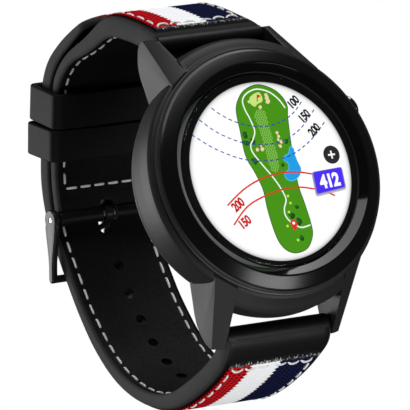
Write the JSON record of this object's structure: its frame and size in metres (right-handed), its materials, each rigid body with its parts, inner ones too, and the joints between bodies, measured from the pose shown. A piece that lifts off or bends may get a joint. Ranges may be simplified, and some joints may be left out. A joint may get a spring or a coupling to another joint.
{
  "type": "golf gps watch",
  "caption": "Round golf GPS watch on a closed padded leather strap with a striped woven ribbon, two keepers, a pin buckle and a side push button.",
  "frame": {"origin": "centre of the flat outer face of the back cover, on the display's axis", "axes": "+X towards 3 o'clock, +Y away from the display towards the wrist, +Z towards 12 o'clock; the display looks along -Y"},
  "size_m": [0.0466, 0.0664, 0.0737],
  "materials": {
    "case_metal": "satin dark grey coating over an alloy case",
    "bezel_black": "satin black coating with a polished foot ring",
    "glass": "clear polished cover glass with a black printed border",
    "rubber_black": "matt black seal rubber",
    "display": null,
    "frame_plastic": "black moulded plastic",
    "board_green": "green solder mask over glass fibre laminate",
    "cell_wrap": "satin foil pouch",
    "antenna_ceramic": "unglazed ceramic with a silver patch",
    "steel": "plain stainless steel",
    "flex_film": "amber polyimide film",
    "back_plastic": "fine textured black moulding",
    "contact_gold": "gold plated contact pad",
    "button_metal": "polished dark metal",
    "leather": "charcoal padded leather with white edge stitching",
    "lining": "fine grained black lining leather",
    "ribbon": "woven ribbon in three lengthwise stripes, red, white and navy",
    "buckle_metal": "satin dark grey coating"
  },
  "bodies": {
    "head": {"case_body": "case_metal", "bezel_ring": "bezel_black", "cover_glass": "glass", "lens_gasket": "rubber_black", "display_panel": "display", "inner_frame": "frame_plastic", "main_board": "board_green", "battery": "cell_wrap", "gps_antenna": "antenna_ceramic", "vibration_motor": "steel", "tact_switch": "frame_plastic", "display_flex": "flex_film", "back_cover": "back_plastic", "back_gasket": "rubber_black", "back_screw_1": "steel", "back_screw_2": "steel", "back_screw_3": "steel", "back_screw_4": "steel", "charge_contact_1": "contact_gold", "charge_contact_2": "contact_gold", "charge_contact_3": "contact_gold", "charge_contact_4": "contact_gold", "spring_bar_12": "steel", "bar_spring_12": "steel", "spring_bar_6": "steel", "bar_spring_6": "steel"},
    "button": {"side_button": "button_metal", "button_clip": "steel", "button_seal": "rubber_black"},
    "buckle_half": {"strap_buckle_half": "leather", "lining_buckle_half": "lining", "ribbon_buckle_half": "ribbon", "fixed_keeper": "leather", "buckle_bar": "steel", "bar_spring_buckle": "steel"},
    "tail_half": {"strap_tail_half": "leather", "lining_tail_half": "lining", "ribbon_tail_half": "ribbon"},
    "keeper": {"free_keeper": "leather"},
    "buckle": {"buckle_frame": "buckle_metal"},
    "tongue": {"buckle_tongue": "buckle_metal"},
    "tip_12_right": {"bar_tip_12_right": "steel"},
    "tip_12_left": {"bar_tip_12_left": "steel"},
    "tip_6_right": {"bar_tip_6_right": "steel"},
    "tip_6_left": {"bar_tip_6_left": "steel"},
    "tip_buckle_right": {"bar_tip_buckle_right": "steel"},
    "tip_buckle_left": {"bar_tip_buckle_left": "steel"}
  },
  "joints": [
    {"name": "side_button_press", "type": "slide", "parent": "head", "child": "button", "axis": [-0.9026, 0, -0.4305], "range_m": [0, 0.0006], "stiffness_N_per_m": 1500, "springref_m": -0.0004},
    {"name": "strap_12_swing", "type": "hinge", "parent": "head", "child": "buckle_half", "pos_m": [0, -0.0021, 0.0266], "axis": [1, 0, 0], "range_deg": [-0.3, 0.3]},
    {"name": "strap_6_swing", "type": "hinge", "parent": "head", "child": "tail_half", "pos_m": [0, -0.0021, -0.0266], "axis": [1, 0, 0], "range_deg": [-0.3, 0.3]},
    {"name": "buckle_frame_lift", "type": "hinge", "parent": "buckle_half", "child": "buckle", "pos_m": [0, 0.04585, 0.0068], "axis": [1, 0, 0], "range_deg": [0, 6]},
    {"name": "buckle_tongue_lift", "type": "hinge", "parent": "buckle", "child": "tongue", "pos_m": [0, 0.04585, 0.0068], "axis": [1, 0, 0], "range_deg": [0, 5]},
    {"name": "free_keeper_slide", "type": "slide", "parent": "buckle_half", "child": "keeper", "axis": [0, -0.4543, 0.8909], "range_m": [0, 0.001]},
    {"name": "bar_tip_12_right_slide", "type": "slide", "parent": "head", "child": "tip_12_right", "axis": [-1, 0, 0], "range_m": [0, 0.0011], "stiffness_N_per_m": 400, "springref_m": -0.0005},
    {"name": "bar_tip_12_left_slide", "type": "slide", "parent": "head", "child": "tip_12_left", "axis": [1, 0, 0], "range_m": [0, 0.0011], "stiffness_N_per_m": 400, "springref_m": -0.0005},
    {"name": "bar_tip_6_right_slide", "type": "slide", "parent": "head", "child": "tip_6_right", "axis": [-1, 0, 0], "range_m": [0, 0.0011], "stiffness_N_per_m": 400, "springref_m": -0.0005},
    {"name": "bar_tip_6_left_slide", "type": "slide", "parent": "head", "child": "tip_6_left", "axis": [1, 0, 0], "range_m": [0, 0.0011], "stiffness_N_per_m": 400, "springref_m": -0.0005},
    {"name": "bar_tip_buckle_right_slide", "type": "slide", "parent": "buckle_half", "child": "tip_buckle_right", "axis": [-1, 0, 0], "range_m": [0, 0.0011], "stiffness_N_per_m": 400, "springref_m": -0.0005},
    {"name": "bar_tip_buckle_left_slide", "type": "slide", "parent": "buckle_half", "child": "tip_buckle_left", "axis": [1, 0, 0], "range_m": [0, 0.0011], "stiffness_N_per_m": 400, "springref_m": -0.0005}
  ],
  "couplings": [
    {"joint": "strap_6_swing", "follows": "strap_12_swing", "ratio": 1}
  ]
}
